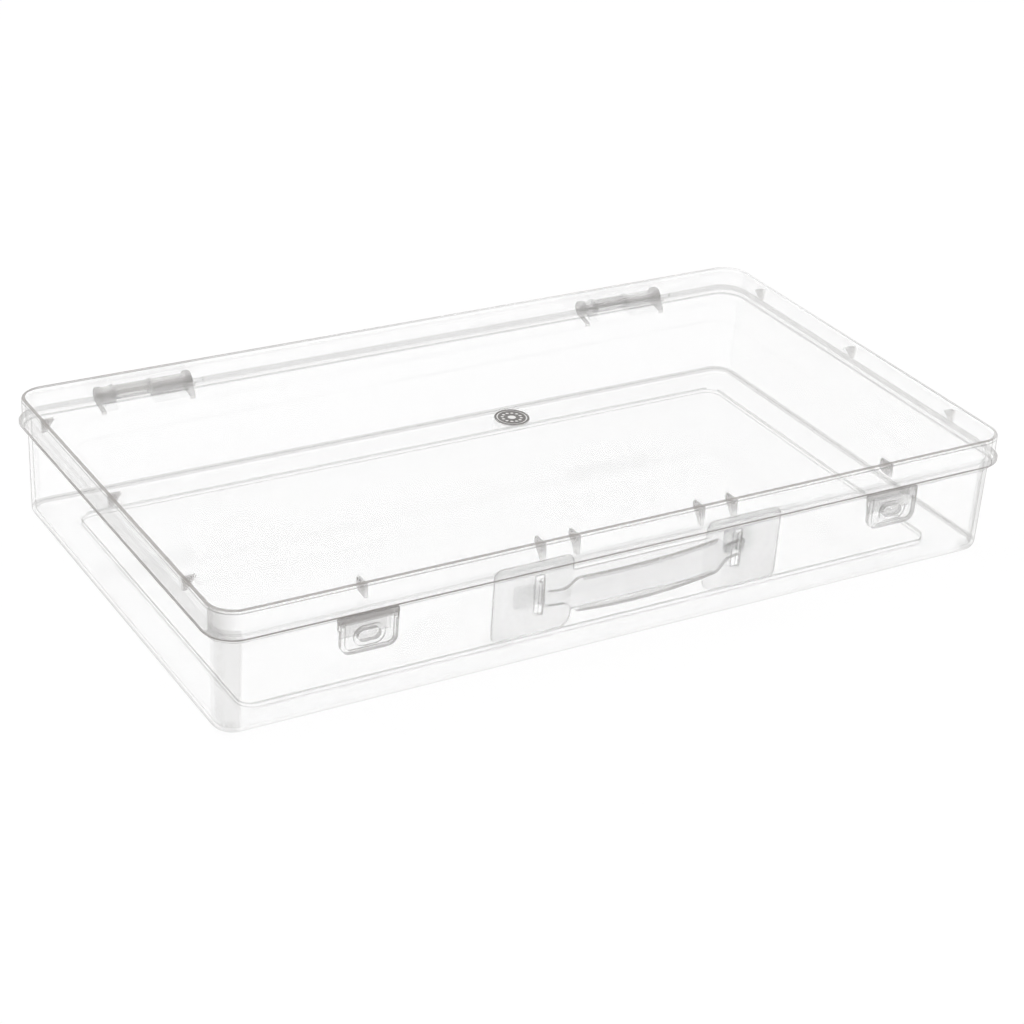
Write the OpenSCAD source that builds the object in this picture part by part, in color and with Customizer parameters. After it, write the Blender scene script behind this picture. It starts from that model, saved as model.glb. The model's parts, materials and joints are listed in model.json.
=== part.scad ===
// Clear plastic keeper case: a shallow tray with a hinged lid, two latch flaps
// on the lid's front edge and a carrying strap through the front wall.
// X runs along the case, the latches face -Y, the hinges +Y, and Z is up.
// The origin is the middle of the foot panel that the case stands on.

/* [Case] */
// Length over the lid
case_l = 420; // [380:1:460]
// Depth over the lid
case_w = 237; // [220:1:260]
// Height from the foot panel to the top of the lid
case_h = 64; // [60:0.5:72]
// Corner radius of the lid seen from above
corner_r = 13.5; // [12:0.5:18]
// Wall thickness of the mouldings
wall = 1.8; // [1.5:0.1:2.2]

/* [Tray] */
// How far the foot of the tray wall stands inside the lid's outline
tray_inset = 3.2; // [3:0.1:4]
// How far the tray wall leans out up to the shoulder
tray_lean = 0.6; // [0.4:0.1:0.8]
// Radius of the tray's bottom edge
tray_edge_r = 4.5; // [3:0.5:6]
// Height where the wall flares out into the ledge under the lid
shoulder_z = 46.4; // [45:0.1:47]
// Rise of the ledge's sloping underside
shoulder_rise = 2.2; // [1.6:0.1:2.8]
// How far the ledge stands inside the lid's outline
ledge_inset = 0.6; // [0.4:0.1:1]
// How far the rim stands inside the lid's outline
rim_inset = 2.4; // [2.3:0.1:2.8]
// Height of the rim
rim_z = 52.4; // [51:0.1:52.5]
// Drop of the foot panel under the floor
foot_drop = 1; // [0.6:0.1:1.5]
// Distance from the lid's outline to the foot panel
foot_inset = 20.6; // [18:0.2:30]
// Corner radius of the foot panel
foot_r = 8; // [6:0.5:24]

/* [Lid] */
// Depth of the lid's skirt
skirt_h = 13.7; // [13:0.1:14]
// Radius of the lid's top edge
lid_edge_r = 1; // [0.5:0.1:2.5]
// How far the bead round the skirt's foot stands proud
bead_out = 1.5; // [0.8:0.1:1.8]
// Height of the bead
bead_h = 2.8; // [2:0.1:3.2]
// Thickness of a gusset under the lid
gusset_t = 1.5; // [1:0.1:2]
// Reach of a gusset under the lid
gusset_reach = 8; // [6:0.5:9]
// Height of the blunt gussets at the sides and over the latches
gusset_h = 6; // [4:0.5:8]
// Distance between the side gussets
gusset_pitch = 82.5; // [70:0.5:85]
// How far the middle side gusset stands behind the case's middle
gusset_shift = 3.5; // [0:0.5:10]
// Diameter of the emblem disc in the lid
medallion_d = 17; // [14:0.5:24]
// Thickness of the emblem disc
medallion_t = 0.8; // [0.5:0.1:1]
// Place of the emblem disc from the middle of the lid
medallion_at = [-3, -2.5]; // [-10:0.5:10]

/* [Hinges] */
// Distance from the case's middle to the middle of a hinge
hinge_x = 139.5; // [120:0.5:160]
// How far both hinges stand left of their even places
hinge_shift = 1.7; // [0:0.1:3]
// Length of a hinge
hinge_l = 49.5; // [46:0.5:60]
// Distance of the hinge axis behind the lid's back face
hinge_out = 5.1; // [5:0.1:6]
// Height of the hinge axis
hinge_z = 50.6; // [50:0.1:51]
// Radius of the knuckles
knuckle_r = 3.6; // [3.2:0.1:3.7]
// Radius of the hinge pin
pin_r = 1.5; // [1.2:0.1:1.8]

/* [Latches] */
// Distance from the case's middle to the middle of a latch
latch_x = 140; // [120:0.5:160]
// Width of a latch flap
flap_w = 27.5; // [24:0.5:28]
// Width of the flap's ears beside its hinge line
ear_w = 29; // [28:0.5:33]
// Height of the flap's lower edge
flap_z = 32.2; // [31:0.2:33]
// Thickness of the flap
flap_t = 1.6; // [1.4:0.1:1.8]
// Radius of the flap's lower corners
flap_r = 5; // [4:0.5:6]

/* [Handle] */
// Middle of the handle along the case
handle_x = 2.3; // [-6:0.1:6]
// Distance between the two slots for the strap
slot_pitch = 106.6; // [100:0.2:116]
// Height of the strap's middle line
strap_z = 36.2; // [35:0.1:37]
// Slope of the strap, higher at its right end
strap_tilt = 2; // [0:0.5:2]
// Thickness of the strap
strap_t = 2; // [1.6:0.1:2.2]
// Outward bow of the strap
strap_bow = 6; // [5:0.5:12]
// Width of the strap between its shoulders
strap_w = 17.2; // [16:0.2:18]
// Width of the strap's neck
neck_w = 7.4; // [7:0.2:8]

/* [Hidden] */
$fn = 64;

clear_tint = [0.93, 0.95, 0.97, 0.45];
milky = [0.96, 0.96, 0.97];
emblem_grey = [0.42, 0.39, 0.38];

// Small numbers shared by the joints
skin = 0.2;       // how far parts of one moulding sink into each other
gap = 0.3;        // free space between pieces that move past each other
pin_play = 0.05;  // radial play of the pin in its knuckles
arc_steps = 6;    // flats in a quarter of a rounded edge

// Tray heights and offsets, worked out from the driving sizes
shoulder_top = shoulder_z + shoulder_rise;
wall_foot = -tray_inset;
wall_head = tray_lean - tray_inset;
lean_angle = atan(tray_lean / (shoulder_z - tray_edge_r - foot_drop));
front_y = -case_w / 2;
skirt_foot = case_h - skirt_h;
ledge_top = skirt_foot - gap;
lid_under = case_h - wall;
gusset_foot = rim_z + gap;
knuckle_cuts = [9, 28];
hinge_y = case_w / 2 + hinge_out;
hinge_notch = 30.5;
end_eye_r = [4.2, 4.8];

// Offset of the tray wall's outer face at height z, and its place on the front wall
function wall_at(z) =
    wall_foot + (z - foot_drop - tray_edge_r) * tan(lean_angle);
function front_wall_y(z) = front_y - wall_at(z);

// Points on a circle's arc from angle a to angle b
function arc(c, r, a, b, n = arc_steps) =
    [for (i = [0:n]) c + r * [cos(a + (b - a) * i / n), sin(a + (b - a) * i / n)]];

// Rounded rectangle seen from above, standing off the lid's outline by inset
module plan(inset, r) {
    l = case_l - 2 * inset;
    w = case_w - 2 * inset;
    square([l - 2 * r, w], center = true);
    square([l, w - 2 * r], center = true);
    for (x = [-1, 1], y = [-1, 1])
        translate([x * (l / 2 - r), y * (w / 2 - r)]) circle(r);
}

// A wall profile carried round the case. A profile's x is its offset from the
// lid's outline, negative inwards, and its y is the height.
module sweep(profile) {
    half = [case_l / 2 - corner_r, case_w / 2 - corner_r];
    section = [for (p = profile) [p[0] + corner_r, p[1]]];
    for (i = [0:3]) {
        across = half[i % 2];
        along = half[1 - i % 2];
        rotate(90 * i) translate([across, along, 0]) {
            rotate_extrude(angle = 90) polygon(section);
            rotate([90, 0, 0]) linear_extrude(2 * along) polygon(section);
        }
    }
}

// A profile in the Y-Z plane, given a thickness along X and centred on it
module rib(t, profile) {
    translate([-t / 2, 0, 0]) rotate([90, 0, 90]) linear_extrude(t) polygon(profile);
}

// A round bar along X, from x0 to x1
module bar(r, x0, x1) {
    translate([x0, 0, 0]) rotate([0, 90, 0]) cylinder(r = r, h = x1 - x0);
}

module tray_wall() {
    low = foot_drop + tray_edge_r;
    inner_foot = wall_foot - wall;
    inner_r = tray_edge_r - wall;
    sweep(concat(
        arc([wall_foot - tray_edge_r, low], tray_edge_r, -90, 0),
        [[wall_head, shoulder_z], [-ledge_inset, shoulder_top], [-ledge_inset, ledge_top],
         [-rim_inset, ledge_top], [-rim_inset, rim_z], [-rim_inset - wall, rim_z]],
        arc([inner_foot - inner_r, low], inner_r, 0, -90)
    ));
}

module tray_floor() {
    floor_r = corner_r - tray_inset - tray_edge_r;
    translate([0, 0, foot_drop])
        linear_extrude(wall) plan(tray_inset + tray_edge_r - skin, floor_r + skin);
    linear_extrude(foot_drop + wall / 2) plan(foot_inset, foot_r);
}

// The panel pressed down into the floor leaves a shallow recess inside
module floor_recess() {
    translate([0, 0, wall])
        linear_extrude(wall) plan(foot_inset + wall, foot_r - wall);
}

// One slot end to end, cut through the front wall
slot_w = 2.6;
slot_z = [25.2, 43.9];
module strap_slots() {
    for (side = [-1, 1])
        translate([handle_x + side * slot_pitch / 2, front_y + wall, 0])
            rotate([-90, 0, 0]) linear_extrude(4 * wall + tray_inset) {
                translate([-slot_w / 2, -slot_z[1] + slot_w / 2])
                    square([slot_w, slot_z[1] - slot_z[0] - slot_w]);
                for (z = slot_z + [slot_w / 2, -slot_w / 2])
                    translate([0, -z]) circle(slot_w / 2);
            }
}

// Open box behind each flap that stiffens the wall and carries the latch lug
boss_w = 23.5;
boss_z = 38;
boss_head = 45.8;
boss_y = front_y + 0.2;
lug_w = 8;
lug_z = [38.3, 41.5];
lug_out = 2.9;
module latch_boss() {
    foot_y = front_wall_y(boss_z) + skin;
    head_y = front_y - wall_head + skin;
    ledge_y = front_y + ledge_inset + skin;
    side = [[foot_y, boss_z], [boss_y, boss_z + 1.2], [boss_y, boss_head],
            [ledge_y, shoulder_top], [head_y, shoulder_top]];
    for (x = [-1, 1]) translate([x * (boss_w - gusset_t) / 2, 0, 0]) rib(gusset_t, side);
    translate([-boss_w / 2, boss_y, boss_z + 1.2])
        cube([boss_w, gusset_t, boss_head - boss_z - 1.2]);
    rib(boss_w - skin, [[head_y, shoulder_z], [boss_y + skin, boss_head - gusset_t],
        [boss_y + skin, boss_head], [ledge_y, shoulder_top], [head_y, shoulder_top]]);
    rib(lug_w, [[foot_y, lug_z[0]], [boss_y - lug_out, lug_z[0]],
        [boss_y - lug_out, lug_z[0] + 1.4], [boss_y + skin, lug_z[1]]]);
}

// Places one half of a hinge with its left end at x = 0 and its axis at y = z = 0
module on_hinge(side) {
    translate([side * hinge_x - hinge_shift - hinge_l / 2, hinge_y, hinge_z]) children();
}

// Web that carries a knuckle of the tray, from the barrel down to the shoulder
web_t = 1.6;
web_foot = [-hinge_out + wall_head - skin, -4.2];
module tray_knuckle(x0, x1) {
    bar(knuckle_r, x0, x1);
    translate([(x0 + x1) / 2, 0, 0])
        rib(x1 - x0, [[0, -knuckle_r], web_foot - [0, web_t], web_foot, [-web_t, 0]]);
}

// Eye at an end of the hinge, on an arm that ends in a round foot on the tray
eye_t = 2.4;
arm_foot_r = 1.7;
module end_eye(x, r) {
    bar(r, x, x + eye_t);
    translate([x + eye_t / 2, 0, 0])
        rib(eye_t, [[0, -r], web_foot - [0, arm_foot_r], web_foot + [0, arm_foot_r], [-0.9 * r, 0]]);
    translate([0, web_foot[0], web_foot[1]]) bar(arm_foot_r, x, x + eye_t);
}

module tray_hinge() {
    ring_r = knuckle_r + 0.6;
    ring_t = 1.2;
    cuts = knuckle_cuts + [-gap / 2, gap / 2];
    difference() {
        union() {
            tray_knuckle(skin, cuts[0]);
            tray_knuckle(cuts[1], hinge_l - skin);
            bar(ring_r, cuts[0] - ring_t, cuts[0]);
            bar(ring_r, cuts[1], cuts[1] + ring_t);
            end_eye(0, end_eye_r[0]);
            end_eye(hinge_l - eye_t, end_eye_r[1]);
        }
        bar(pin_r + pin_play, -wall, hinge_l + wall);
    }
}

module base_tray() {
    color(clear_tint) {
        difference() {
            union() {
                tray_wall();
                tray_floor();
            }
            floor_recess();
            strap_slots();
        }
        for (side = [-1, 1]) {
            translate([side * latch_x, 0, 0]) latch_boss();
            on_hinge(side) tray_hinge();
        }
    }
}

// Plate behind the front wall that spreads the pull of the strap. It is drawn
// flat in x and z, with z from the plate's own middle line, and leans with the wall.
plate_t = 1.5;
plate_z = 33.5;
plate_half = 77;
plate_top = 18.2;
plate_foot = -19.2;
pad_inner = 36;
pad_chamfer = 6.5;
plate_r = 4;
bridge_z = [-10.5, 9.7];
plate_slot = 4.4;
plate_slot_z = [-8.8, 11];
module pad_outline() {
    polygon(concat(
        [[pad_inner, plate_foot + pad_chamfer]],
        arc([pad_inner + pad_chamfer, plate_foot + pad_chamfer], pad_chamfer, 180, 270),
        arc([plate_half - plate_r, plate_foot + plate_r], plate_r, -90, 0),
        arc([plate_half - plate_r, plate_top - plate_r], plate_r, 0, 90),
        arc([pad_inner + plate_r, plate_top - plate_r], plate_r, 90, 180)
    ));
}

module handle_backplate() {
    lean_y = front_wall_y(plate_z) + wall / cos(lean_angle) + gap / 10;
    color(milky) translate([handle_x, lean_y, plate_z]) rotate([90 + lean_angle, 0, 0])
        mirror([0, 0, 1]) linear_extrude(plate_t) {
            for (side = [0, 1]) mirror([side, 0]) difference() {
                pad_outline();
                translate([(slot_pitch - plate_slot) / 2, plate_slot_z[0]])
                    square([plate_slot, plate_slot_z[1] - plate_slot_z[0]]);
            }
            translate([-pad_inner - skin, bridge_z[0]])
                square([2 * (pad_inner + skin), bridge_z[1] - bridge_z[0]]);
        }
}

// Loose pin with a head at its right end, pushed in from that end
pin_head_r = 2.6;
pin_head_t = 1.2;
module hinge_pin(side) {
    color(milky) on_hinge(side) {
        bar(pin_r, -0.8, hinge_l + skin);
        bar(pin_head_r, hinge_l + gap / 6, hinge_l + pin_head_t);
    }
}

module hinge_pin_left() {
    hinge_pin(-1);
}

module hinge_pin_right() {
    hinge_pin(1);
}

// Skirt of the lid; the bead round its foot stops on both sides of each hinge
module lid_skirt() {
    sweep(concat(
        [[-wall, skirt_foot], [0, skirt_foot]],
        arc([-lid_edge_r, case_h - lid_edge_r], lid_edge_r, 0, 90),
        [[-lid_edge_r - wall, case_h], [-lid_edge_r - wall, lid_under], [-wall, lid_under]]
    ));
    difference() {
        sweep([[-skin, skirt_foot], [bead_out - 0.3, skirt_foot], [bead_out, skirt_foot + 0.4],
            [bead_out, skirt_foot + bead_h - 0.8], [0, skirt_foot + bead_h], [-skin, skirt_foot + bead_h]]);
        for (side = [-1, 1])
            translate([side * hinge_x - hinge_shift - hinge_notch, case_w / 2, skirt_foot - wall])
                cube([2 * hinge_notch, tray_inset, bead_h + 2 * wall]);
    }
}

// Small fin in the lid's corner, drawn at the middle of the front side. The
// long ones taper down to the tray's rim and the others end blunt.
module gusset(long = false) {
    inner = front_y + wall;
    nose = inner + gusset_reach;
    foot = lid_under - gusset_h;
    tip = long
        ? [[inner - skin, gusset_foot], [inner + 2.6, gusset_foot], [nose, lid_under - 2.5]]
        : [[inner - skin, foot - 0.6], [nose - 2, foot], [nose, foot + 1.2]];
    rib(gusset_t, concat(tip, [[nose, lid_under + skin], [inner - skin, lid_under + skin]]));
}

long_gussets = [-51.8, -34, 32.6, 50.5];
module lid_gussets() {
    for (x = long_gussets) translate([x, 0, 0]) gusset(long = true);
    for (side = [-1, 1]) {
        translate([side * latch_x, 0, 0]) gusset();
        for (i = [-1:1])
            translate([side * (case_l - case_w) / 2, gusset_shift + i * gusset_pitch, 0])
                rotate(side * 90) gusset();
    }
}

// Middle knuckle of a hinge, hung from the skirt's foot
module lid_hinge() {
    x0 = knuckle_cuts[0] + gap / 2;
    x1 = knuckle_cuts[1] - gap / 2;
    skirt_face = -hinge_out - skin;
    foot = skirt_foot - hinge_z;
    difference() {
        union() {
            bar(knuckle_r, x0, x1);
            translate([(x0 + x1) / 2, 0, 0])
                rib(x1 - x0, [[-1, -knuckle_r + skin], [skirt_face - wall / 2, foot],
                    [skirt_face - wall / 2, foot + bead_h + wall], [skirt_face, foot + bead_h + wall],
                    [0, knuckle_r]]);
        }
        bar(pin_r + pin_play, x0 - wall, x1 + wall);
    }
}

module lid_cover() {
    color(clear_tint) difference() {
        union() {
            lid_skirt();
            translate([0, 0, lid_under])
                linear_extrude(wall) plan(lid_edge_r + wall - skin, corner_r - lid_edge_r - wall + skin);
            lid_gussets();
            for (side = [-1, 1]) on_hinge(side) lid_hinge();
        }
        translate([0, 0, case_h - medallion_t]) translate(medallion_at) cylinder(d = medallion_d, h = wall);
    }
}

// Emblem disc laid flush in the lid, with plain rings and a ring of petals
module lid_medallion() {
    groove = 0.3;
    petals = 12;
    color(emblem_grey) translate([0, 0, case_h - medallion_t]) translate(medallion_at) difference() {
        cylinder(r = medallion_d / 2 - groove / 6, h = medallion_t);
        translate([0, 0, medallion_t - groove]) {
            difference() {
                cylinder(r = medallion_d * 0.44, h = wall);
                translate([0, 0, -wall]) cylinder(r = medallion_d * 0.4, h = 3 * wall);
            }
            for (i = [0:petals - 1]) rotate(i * 360 / petals)
                translate([medallion_d * 0.27, 0, 0]) cylinder(r = medallion_d * 0.05, h = wall, $fn = 24);
            cylinder(r = medallion_d * 0.12, h = wall);
        }
    }
}

// Latch flap, hung on a thin hinge line under the lid's bead. It is drawn with
// its hinge line as the X axis and hangs down in -Y of the drawing.
root_r = 1.3;
root_z = skirt_foot - gap - root_r;
root_y = front_y - 1.1;
flap_h = root_z - flap_z;
ear_h = 4.6;
rim_rib = 2;
window_half = 5.5;
window_h = 5.6;
window_mid = root_z - 40;
module oval(half, h) {
    square([2 * half - h, h], center = true);
    for (x = [-1, 1]) translate([x * (half - h / 2), 0]) circle(h / 2);
}

module flap_outline(inset) {
    r = flap_r - inset;
    x = flap_w / 2 - inset;
    polygon(concat([[-x, 0]], arc([r - x, flap_r - flap_h], r, 180, 270),
        arc([x - r, flap_r - flap_h], r, -90, 0), [[x, 0]]));
}

module latch_flap() {
    ring = 2.1;
    proud = 1;
    color(clear_tint) translate([0, root_y, root_z]) {
        rotate([90, 0, 0]) difference() {
            union() {
                translate([0, 0, -flap_t / 2]) linear_extrude(flap_t) {
                    flap_outline(0);
                    translate([-ear_w / 2, -ear_h]) square([ear_w, ear_h]);
                }
                linear_extrude(flap_t / 2 + proud) difference() {
                    flap_outline(0);
                    flap_outline(rim_rib);
                    translate([-flap_w / 2, -root_r / 2]) square([flap_w, root_r]);
                }
                translate([0, -window_mid, 0]) linear_extrude(flap_t / 2 + proud)
                    oval(window_half + ring, window_h + 2 * ring);
            }
            translate([0, -window_mid, -flap_t])
                linear_extrude(4 * flap_t) oval(window_half, window_h);
        }
        bar(root_r, -ear_w / 2, ear_w / 2);
    }
}

module latch_flap_left() {
    translate([-latch_x, 0, 0]) latch_flap();
}

module latch_flap_right() {
    translate([latch_x, 0, 0]) latch_flap();
}

// Carrying strap. The outline seen from the front is cut out of a bowed band,
// and each end turns in through its slot to a flat head behind the wall.
neck_x = 43.6;
shoulder_x = 37.7;
strap_mid_w = 18.2;
pull_play = 1.6;
head_drop = 1.5;
head_x = [49.3, 63.8];
head_w = 11;
strap_face = front_wall_y(strap_z) - 2 * gap - strap_t;
strap_half = slot_pitch / 2 + strap_t / 2;
module strap_outline() {
    belly = (strap_mid_w - strap_w) / 2;
    belly_r = (shoulder_x * shoulder_x + belly * belly) / (2 * belly);
    sweep_angle = asin(shoulder_x / belly_r);
    top = concat(
        [[-strap_half, neck_w / 2], [-neck_x, neck_w / 2]],
        arc([0, strap_mid_w / 2 - belly_r], belly_r, 90 + sweep_angle, 90 - sweep_angle, 2 * arc_steps),
        [[neck_x, neck_w / 2], [strap_half, neck_w / 2]]
    );
    polygon(concat(top, [for (i = [len(top) - 1:-1:0]) [top[i][0], -top[i][1]]]));
}

module strap_band() {
    bow_r = (strap_half * strap_half + strap_bow * strap_bow) / (2 * strap_bow);
    translate([0, strap_face - strap_bow + bow_r, -strap_mid_w]) difference() {
        cylinder(r = bow_r, h = 2 * strap_mid_w);
        translate([0, 0, -strap_t]) cylinder(r = bow_r - strap_t, h = 3 * strap_mid_w);
    }
}

module handle_strap() {
    head_y = front_wall_y(strap_z) + wall + plate_t + pull_play + 2 * gap;
    color(clear_tint) translate([handle_x, 0, strap_z]) rotate([0, -strap_tilt, 0]) {
        intersection() {
            strap_band();
            translate([0, strap_face + strap_t, 0]) rotate([90, 0, 0])
                linear_extrude(strap_bow + 2 * strap_t) strap_outline();
        }
        for (side = [0, 1]) mirror([side, 0, 0]) {
            translate([(slot_pitch - strap_t) / 2, strap_face, -neck_w / 2])
                cube([strap_t, head_y - strap_face + strap_t, neck_w]);
            translate([head_x[0], head_y, -head_w / 2 - head_drop])
                cube([head_x[1] - head_x[0], strap_t, head_w]);
        }
    }
}

base_tray();
handle_backplate();
hinge_pin_left();
hinge_pin_right();
lid_cover();
lid_medallion();
latch_flap_left();
latch_flap_right();
handle_strap();
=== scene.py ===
import bpy
import json
import math
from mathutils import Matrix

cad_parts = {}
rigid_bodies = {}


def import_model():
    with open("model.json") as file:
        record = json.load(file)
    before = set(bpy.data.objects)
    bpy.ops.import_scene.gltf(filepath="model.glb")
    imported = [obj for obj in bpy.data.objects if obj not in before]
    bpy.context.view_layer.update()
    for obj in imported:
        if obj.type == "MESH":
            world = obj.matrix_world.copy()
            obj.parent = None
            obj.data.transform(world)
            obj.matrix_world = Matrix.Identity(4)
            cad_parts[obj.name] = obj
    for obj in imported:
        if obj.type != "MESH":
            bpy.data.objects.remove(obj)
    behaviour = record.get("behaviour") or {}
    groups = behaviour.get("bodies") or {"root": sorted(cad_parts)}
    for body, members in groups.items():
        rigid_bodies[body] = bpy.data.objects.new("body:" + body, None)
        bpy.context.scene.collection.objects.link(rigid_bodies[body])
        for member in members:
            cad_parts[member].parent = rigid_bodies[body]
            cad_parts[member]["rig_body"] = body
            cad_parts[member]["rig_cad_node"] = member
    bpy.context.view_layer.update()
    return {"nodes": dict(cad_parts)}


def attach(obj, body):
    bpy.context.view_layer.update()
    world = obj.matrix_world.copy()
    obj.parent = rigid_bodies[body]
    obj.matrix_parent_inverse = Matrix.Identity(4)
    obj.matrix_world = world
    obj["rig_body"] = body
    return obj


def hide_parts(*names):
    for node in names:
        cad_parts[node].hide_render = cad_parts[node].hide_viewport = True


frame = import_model()
bpy.ops.object.select_all(action="DESELECT")

# Places that several pieces share, in metres.
HANDLE_X = 0.0023
HANDLE_Z = 0.0362
SLOT_OUT = 0.0533
HINGE_X = -0.0017
HINGE_OUT = 0.1395
HINGE_HALF = 0.0262
PIN_Y, PIN_Z = 0.1236, 0.0506
LATCH_OUT = 0.14
PLASTIC_IOR = 1.49


# The case lies on a white table under even studio light. The table shows white
# to the eye and through the clear plastic, and still takes the case's soft shadow.
class Tone:
    """One output of a shader node, on which sums and products add Math nodes."""

    def __init__(self, tree, socket):
        self.tree = tree
        self.socket = socket

    def node(self, kind, sockets=(), out=0, **settings):
        made = self.tree.nodes.new("ShaderNode" + kind)
        for name, value in settings.items():
            setattr(made, name, value)
        for place, value in dict(sockets).items():
            if isinstance(value, Tone):
                self.tree.links.new(value.socket, made.inputs[place])
            else:
                made.inputs[place].default_value = value
        return Tone(self.tree, made.outputs[out])

    def maths(self, operation, *values):
        return self.node("Math", dict(enumerate(values)), operation=operation)

    def __add__(self, other):
        return self.maths("ADD", self, other)

    def __sub__(self, other):
        return self.maths("SUBTRACT", self, other)

    def __rsub__(self, other):
        return self.maths("SUBTRACT", other, self)

    def __mul__(self, other):
        return self.maths("MULTIPLY", self, other)

    __radd__ = __add__
    __rmul__ = __mul__

    def __gt__(self, other):
        return self.maths("GREATER_THAN", self, other)

    def __lt__(self, other):
        return self.maths("LESS_THAN", self, other)

    def away(self, other):
        """Distance from a number, whichever side."""
        return self.maths("ABSOLUTE", self - other)

    def either(self, other):
        return self.maths("MAXIMUM", self, other)

    def ramp(self, low, high):
        """0 below low, 1 above high and smooth between."""
        return self.node("MapRange", {0: self, 1: low, 2: high}, interpolation_type="SMOOTHSTEP")

    def colour(self, dark, light):
        return self.node("Mix", {0: self, 6: (*dark, 1), 7: (*light, 1)}, out=2, data_type="RGBA")

    def onto(self, other, factor):
        """A shader mix that goes from this shader to the other."""
        return self.node("MixShader", {0: factor, 1: self, 2: other})

    def finish(self, kind="OutputMaterial"):
        output = self.tree.nodes.new("ShaderNode" + kind)
        self.tree.links.new(self.socket, output.inputs["Surface"])


def bare_tree(owner):
    owner.use_nodes = True
    owner.node_tree.nodes.clear()
    return Tone(owner.node_tree, None)


def seen_white(start):
    """1 for rays that the eye, gloss and clear plastic send, and 0 for light itself."""
    rays = [start.node("LightPath", out=name) for name in
            ("Is Camera Ray", "Is Glossy Ray", "Is Transmission Ray")]
    return rays[0].either(rays[1]).either(rays[2])


bpy.ops.mesh.primitive_plane_add(size=14, location=(0, 0, -0.0002))
table = bpy.context.object
table.name = "table"
table_top = bpy.data.materials.new("table_top")
start = bare_tree(table_top)
matt = start.node("BsdfDiffuse", {"Color": (0.96, 0.96, 0.96, 1)})
white = start.node("Emission", {"Color": (1, 1, 1, 1), "Strength": 1.0})
matt.onto(white, seen_white(start) * 0.93).finish()
table.data.materials.append(table_top)

studio = bpy.data.worlds.new("studio")
bpy.context.scene.world = studio
start = bare_tree(studio)
height = start.node("SeparateXYZ", {0: start.node("TexCoord", out="Generated")}, out="Z")
tent = start.node("Background", {"Color": height.ramp(-0.05, 0.55).colour((0.30, 0.28, 0.265), (1.0, 1.0, 1.0)),
                                 "Strength": 1.0})
backdrop = start.node("Background", {"Color": (1, 1, 1, 1), "Strength": 1.0})
tent.onto(backdrop, start.node("LightPath", out="Is Camera Ray")).finish("OutputWorld")

for name, place, size, watts in (("key", (-1.3, 0.6, 2.2), 1.6, 16), ("fill", (1.6, -1.2, 1.8), 1.8, 7)):
    bpy.ops.object.light_add(type="AREA", location=place)
    lamp = bpy.context.object
    lamp.name = name
    lamp.data.size = size
    lamp.data.energy = watts
    lamp.rotation_euler = (-lamp.location).to_track_quat("-Z", "Y").to_euler()

bpy.ops.object.camera_add(location=(-0.585842, -0.950932, 0.597685),
                          rotation=[math.radians(a) for a in (62.215, -3.259, -30.012)])
camera = bpy.context.object
camera.data.lens = 90
camera.data.sensor_width = 36
camera.data.clip_start = 0.01
bpy.context.scene.camera = camera
bpy.context.scene.view_settings.view_transform = "Standard"


# The tray is one injection moulding in water-clear polypropylene. Its hinge
# knuckles and the boxes behind the latches are thicker and look greyer.
def softened(node, body, material, edge=0.0):
    """One joined skin of a CAD piece in its own place, its edges rounded by edge metres."""
    bpy.ops.object.select_all(action="DESELECT")
    piece = frame["nodes"][node].copy()
    piece.data = piece.data.copy()
    piece.name = node + "_skin"
    bpy.context.scene.collection.objects.link(piece)
    piece.parent = None
    piece.select_set(True)
    bpy.context.view_layer.objects.active = piece
    piece.data.materials.clear()
    piece.data.materials.append(material)
    if piece.data.has_custom_normals:
        bpy.ops.mesh.customdata_custom_splitnormals_clear()
    bpy.ops.object.mode_set(mode="EDIT")
    bpy.ops.mesh.select_all(action="SELECT")
    bpy.ops.mesh.remove_doubles(threshold=2e-6)
    bpy.ops.mesh.dissolve_limited(angle_limit=math.radians(0.4))
    bpy.ops.object.mode_set(mode="OBJECT")
    if edge:
        rim = piece.modifiers.new("edges", "BEVEL")
        rim.width = edge
        rim.segments = 2
        rim.angle_limit = math.radians(35)
        rim.use_clamp_overlap = True
        bpy.ops.object.modifier_apply(modifier=rim.name)
    bpy.ops.object.shade_smooth_by_angle(angle=math.radians(32))
    if edge:
        even = piece.modifiers.new("even", "WEIGHTED_NORMAL")
        even.keep_sharp = True
        bpy.ops.object.modifier_apply(modifier=even.name)
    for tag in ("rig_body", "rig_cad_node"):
        if tag in piece:
            del piece[tag]
    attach(piece, body)
    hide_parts(node)
    return piece


def on_object(material):
    """The object's own coordinates in metres, as the vector and as x, y and z."""
    start = bare_tree(material)
    vector = start.node("TexCoord", out="Object")
    return start, vector, [start.node("SeparateXYZ", {0: vector}, out=axis) for axis in "XYZ"]


def from_outline(x, y, half_l=0.210, half_w=0.1185, round_r=0.0135):
    """How far a point stands inside the lid's outline, a rounded rectangle, seen from above."""
    past_x, past_y = x.away(0) - (half_l - round_r), y.away(0) - (half_w - round_r)
    out_x, out_y = past_x.either(0.0), past_y.either(0.0)
    corner = x.maths("SQRT", out_x * out_x + out_y * out_y)
    inside = x.maths("MINIMUM", past_x.either(past_y), 0.0)
    return round_r - (corner + inside)


def beside_pair(x, middle, out):
    """Distance along X from the nearer one of two places that lie out metres off the middle."""
    return (x - middle).away(0).away(out)


def strongest(first, *others):
    """The highest of some tones at each point."""
    for other in others:
        first = first.either(other)
    return first


def turned(start, axis):
    """How far a face is turned away from square to X, Y or Z, from 0 to 1."""
    facing = start.node("SeparateXYZ", {0: start.node("TexCoord", out="Normal")}, out=axis)
    return 1 - facing.away(0)


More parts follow.
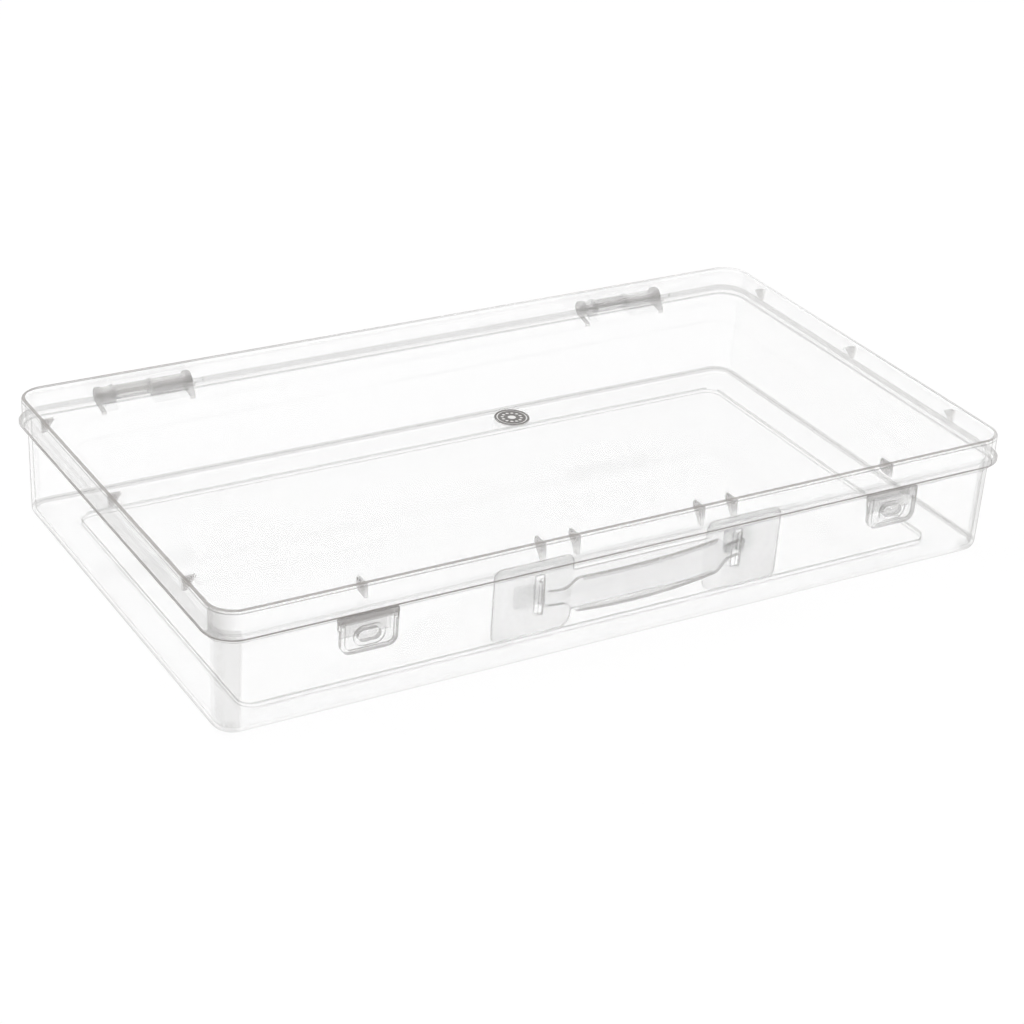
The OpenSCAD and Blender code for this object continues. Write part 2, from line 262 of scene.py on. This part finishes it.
def moulded(start, vector, painted_lines=None, flat=0.08, rim=(0.74, 0.93), painted_line_shade=(0.235, 0.220, 0.210)):
    """Clear moulding. Flat walls let the eye straight through with a little gloss, ripple and
    rubbing. Corners, beads and faces seen edge-on, and the painted lines passed in, get a painted grey: painted
    shade that stands in for the light the clear plastic bends and reflects from the side."""
    ripple = start.node("TexNoise", {"Vector": vector, "Scale": 12.0, "Detail": 1.0, "Roughness": 0.4})
    rub = start.node("TexNoise", {"Vector": start.node("Mapping", {0: vector, "Scale": (30.0, 30.0, 200.0)}),
                                  "Scale": 1.0, "Detail": 3.0, "Roughness": 0.6})
    clear = start.node("BsdfPrincipled", {
        "Base Color": ripple.colour((0.965, 0.965, 0.963), (0.99, 0.99, 0.99)),
        "Roughness": 0.02 + 0.03 * rub.ramp(0.55, 0.8), "IOR": PLASTIC_IOR, "Transmission Weight": 1.0,
        "Alpha": flat + 0.03 * ripple,
        "Normal": start.node("Bump", {"Strength": 0.05, "Distance": 0.0004, "Height": ripple})})
    # The edge shader is a painted dark grey, painted shade for the refraction lines at edges.
    edge = start.node("BsdfPrincipled", {
        "Base Color": rub.colour(painted_line_shade, [1.25 * c for c in painted_line_shade]), "Roughness": 0.22 + 0.1 * rub,
        "IOR": PLASTIC_IOR, "Alpha": 0.9})
    painted_edge_shade = 0.75 * start.node("LayerWeight", {"Blend": 0.5}, out="Facing").ramp(*rim)
    return clear.onto(edge, painted_edge_shade if painted_lines is None else painted_edge_shade.either(painted_lines))


def milky(start, vector, light=(0.78, 0.77, 0.765), dark=(0.62, 0.60, 0.59), alpha=0.62):
    """Thick or stacked moulding that looks milky, with a fine mould grain. Faces seen edge-on turn from the
    light colour to the dark one and grow more opaque: painted shade along the rims.
    """
    grain = start.node("TexNoise", {"Vector": vector, "Scale": 420.0, "Detail": 2.0})
    # Painted shade: the rims seen edge-on get the dark colour.
    rim = start.node("LayerWeight", {"Blend": 0.5}, out="Facing").ramp(0.55, 0.9)
    return start.node("BsdfPrincipled", {
        "Base Color": rim.colour(light, dark), "Roughness": 0.18 + 0.12 * grain, "IOR": PLASTIC_IOR,
        "Transmission Weight": 0.8, "Alpha": alpha + (0.95 - alpha) * rim,
        "Normal": start.node("Bump", {"Strength": 0.06, "Distance": 0.0001, "Height": grain})})


def hinge_grey(start, vector):
    """The nearly opaque grey of the stacked knuckles."""
    return milky(start, vector, light=(0.84, 0.83, 0.82), dark=(0.66, 0.65, 0.64), alpha=0.88)


def hinge_share(x):
    """How much of that grey shows. The right hinge catches more light than the left one."""
    return 0.88 - 0.5 * (x > 0)


tray_skin = bpy.data.materials.new("tray_plastic")
start, vector, (x, y, z) = on_object(tray_skin)
inset = from_outline(x, y)
# Painted shade: grey lines painted along the inner bottom edges (stronger at the back and right), the floor
# step, the shoulder and the slot edges, and a faint grey painted in the rounded front corners, stand in for the
# light the clear walls bend and reflect.
far_side = y.ramp(0.085, 0.108).either(x.ramp(0.185, 0.203))
bottom_far = (inset < 0.0078) * (z.away(0.0042) < 0.0008) * 0.30 * far_side
bottom_near = (inset < 0.0062) * (z < 0.0019) * 0.22 * (1 - far_side)
foot_line = from_outline(x, y, half_l=0.1876, half_w=0.0961, round_r=0.0080).away(0)
floor_step = 0.34 * (foot_line < 0.0005) * (z < 0.0030)
shoulder = (z.away(0.0484) < 0.0004) * (inset > 0.0001) * (inset < 0.0014) * 0.45
painted_corner_shade = (inset > 0.0001) * (x.away(0) > 0.197) * (y < -0.1055) * 0.10
slot_edge = 0.5 * (y < -0.1151) * (z.away(0.0346) < 0.0094) * (beside_pair(x, HANDLE_X, SLOT_OUT) < 0.00135)
to_axis_squared = (y - PIN_Y) * (y - PIN_Y) + (z - PIN_Z) * (z - PIN_Z)
along_hinge = beside_pair(x, HINGE_X, HINGE_OUT)
barrel = (to_axis_squared < 0.0050 ** 2) * (along_hinge < HINGE_HALF)
arms = (y > 0.1150) * (z > 0.0435) * (along_hinge.away(0.0236) < 0.0014)
at_boss = (y < -0.1162) * (z > 0.0372) * (z < 0.0490) * (beside_pair(x, 0, LATCH_OUT) < 0.0122)
painted_lines = strongest(bottom_far, bottom_near, floor_step, shoulder, painted_corner_shade, slot_edge)
surface = moulded(start, vector, painted_lines).onto(milky(start, vector), at_boss * 0.5)
surface = surface.onto(hinge_grey(start, vector), hinge_share(x) * barrel)
# The hinge arms get a dark grey: painted shade for the dark the thick clear arms show.
arm_painted_shade = milky(start, vector, light=(0.50, 0.48, 0.47), dark=(0.34, 0.33, 0.32), alpha=0.8)
surface.onto(arm_painted_shade, 0.85 * arms).finish()
tray = softened("base_tray", "base", tray_skin)


# The backplate is a loose milky moulding clipped behind the front wall. It
# spreads the pull of the carrying strap over the thin wall.
plate_skin = bpy.data.materials.new("backplate_plastic")
start, vector, (x, y, z) = on_object(plate_skin)
# Painted shade: the plate's edges seen side-on get a dark grey line.
painted_edge_band = turned(start, "Y").ramp(0.4, 0.7)
bridge = (x - HANDLE_X).away(0) < 0.0355
# The plate is a little cloudy all over. Its opacity also carries painted light and shade: it is clearer and
# lighter behind the strap, and cloudier on the right pad, where the shadow beside the strap head falls.
cloudiness_and_painted_shade = 0.20 - 0.15 * bridge + 0.14 * x.ramp(0.045, 0.060)
face = milky(start, vector, light=(0.93, 0.93, 0.93), dark=(0.70, 0.69, 0.68), alpha=cloudiness_and_painted_shade)
outline = milky(start, vector, light=(0.42, 0.40, 0.39), dark=(0.3, 0.29, 0.28), alpha=0.85)
face.onto(outline, painted_edge_band).finish()
backplate = softened("handle_backplate", "base", plate_skin, edge=0.0003)


# The carrying strap is one supple clear moulding. Its ends turn in through two
# slots and are held there by flat heads that are wider than the slots.
strap_skin = bpy.data.materials.new("strap_plastic")
start, vector, (x, y, z) = on_object(strap_skin)
along = (x - HANDLE_X).away(0)
in_slot = along > 0.0512
TILT = 0.0349
across = (z - HANDLE_Z - TILT * (x - HANDLE_X)).away(0)
# Painted shade: grey lines painted along the strap's rims, fainter in the slots, and a grey band along the
# edges of its middle stretch stand in for the light the clear edges bend.
thick_painted_rim = 0.30 * (along < 0.0360) * (across > 0.0073)
painted_rim_lines = turned(start, "Y").ramp(0.05, 0.35) * (0.6 - 0.42 * in_slot)
surface = moulded(start, vector, painted_rim_lines.either(thick_painted_rim), flat=0.03, painted_line_shade=(0.30, 0.285, 0.275))
neck = milky(start, vector, light=(0.95, 0.95, 0.95), dark=(0.80, 0.79, 0.78), alpha=0.2)
surface.onto(neck, 0.7 * in_slot).finish()
strap = softened("handle_strap", "handle", strap_skin, edge=0.0008)


# Two milky pins hold the hinges together. Each is pushed through the knuckles
# from its right end, where its head stays.
pin_skin = bpy.data.materials.new("pin_plastic")
start, vector, _ = on_object(pin_skin)
milky(start, vector, light=(0.80, 0.79, 0.78), alpha=0.8).finish()
for side in ("left", "right"):
    pin = softened("hinge_pin_" + side, "base", pin_skin, edge=0.0003)


# The lid is a second clear moulding with a bead round the foot of its skirt. The bead and the fins between top
# and skirt get painted grey lines and painted shade, and the middle knuckles are a greyer moulding.
lid_skin = bpy.data.materials.new("lid_plastic")
start, vector, (x, y, z) = on_object(lid_skin)
inset = from_outline(x, y)
# Painted shade: grey lines painted along the top edge, the skirt, the bead's foot and top, over the bead, and
# on the left end and front-left corner of the skirt stand in for the light the clear edges bend and reflect.
# The top-edge and skirt lines are stronger towards the front and left.
near = 0.45 + 0.55 * (1 - y.ramp(-0.06, 0.10)).either(1 - x.ramp(-0.20, 0.12))
near = near * (1 - 0.45 * x.ramp(0.196, 0.206))
far_side = y.ramp(0.08, 0.115).either(x.ramp(0.19, 0.205))
top_edge = (inset > 0.0003) * (inset < 0.0018) * (z > 0.0634) * near * 0.85
skirt_line = (inset < 0.0003) * (z.away(0.0627) < 0.0003) * near * 0.6
bead = (inset < 0.0001) * (z < 0.0533)
bead_foot = bead * (z < 0.05125) * (0.85 - 0.5 * far_side)
bead_top = 0.15 * bead * (z > 0.0525)
bead_body = bead * (0.05 + 0.26 * far_side)
left_skirt = 0.16 * (x < -0.2085) * (inset < 0.0004) * (z > 0.0533)
left_front = (inset > 0.0001) * (inset < 0.00185) * (y < -0.105) * (1 - x.ramp(-0.2095, -0.1975)) * 0.45
# The fins get a painted dark grey that is darker towards the top and lighter at the right end: painted shade.
FIN_SLOPE = 0.65
wedge = (inset - FIN_SLOPE * z < 0.0043 - FIN_SLOPE * 0.056).either(x.away(0) < 0.199)
fin_shade_gradient = (0.4 + 0.6 * z.ramp(0.053, 0.061)) * (1 - 0.4 * x.ramp(0.17, 0.20))
painted_fin_shade = (inset > 0.00185) * (z < 0.06215) * wedge * fin_shade_gradient
knuckles = (y > 0.1187) * (beside_pair(x, HINGE_X, HINGE_OUT) < HINGE_HALF)
painted_lines = strongest(top_edge, skirt_line, bead_foot, bead_top, bead_body, left_front, left_skirt)
surface = moulded(start, vector, painted_lines).onto(hinge_grey(start, vector), hinge_share(x) * knuckles)
fin_painted_grey = milky(start, vector, light=(0.36, 0.34, 0.33), dark=(0.26, 0.25, 0.24), alpha=0.72)
surface.onto(fin_painted_grey, painted_fin_shade).finish()
lid = softened("lid_cover", "lid", lid_skin)


# A round foil disc is pressed flush into the lid, with plain rings and a ring
# of petals stamped in it.
disc_skin = bpy.data.materials.new("disc_foil")
start, vector, (x, y, z) = on_object(disc_skin)
brushed = start.node("TexNoise", {"Vector": start.node("Mapping", {0: vector, "Scale": (900.0, 60.0, 60.0)}),
                                  "Scale": 1.0, "Detail": 3.0})
stamped = z < 0.0638
surface = start.node("BsdfPrincipled", {
    "Base Color": (0.22 * brushed + 0.75 * stamped).colour((0.10, 0.092, 0.088), (0.88, 0.87, 0.86)),
    "Roughness": 0.3 + 0.2 * brushed, "Metallic": 0.4 * (1 - stamped),
    "Normal": start.node("Bump", {"Strength": 0.1, "Distance": 0.0001, "Height": brushed})})
surface.finish()
disc = softened("lid_medallion", "lid", disc_skin, edge=0.0001)


# Each latch flap hangs from the lid's bead on a thin moulded line. Its window
# snaps over the lug on the tray, and its rim and ring stand proud.
flap_skin = bpy.data.materials.new("flap_plastic")
start, vector, (x, y, z) = on_object(flap_skin)
# Painted shade: a grey band painted across the root and grey lines painted round the edges. Both are lighter on
# the right flap, where more light falls.
root = (z > 0.0463) * (0.5 - 0.22 * (x > 0))
edges = turned(start, "Y").ramp(0.15, 0.5)
moulded(start, vector, root.either(edges * (0.6 - 0.15 * (x > 0))), flat=0.14).finish()
for side in ("left", "right"):
    flap = softened("latch_flap_" + side, "latch_" + side, flap_skin, edge=0.0002)
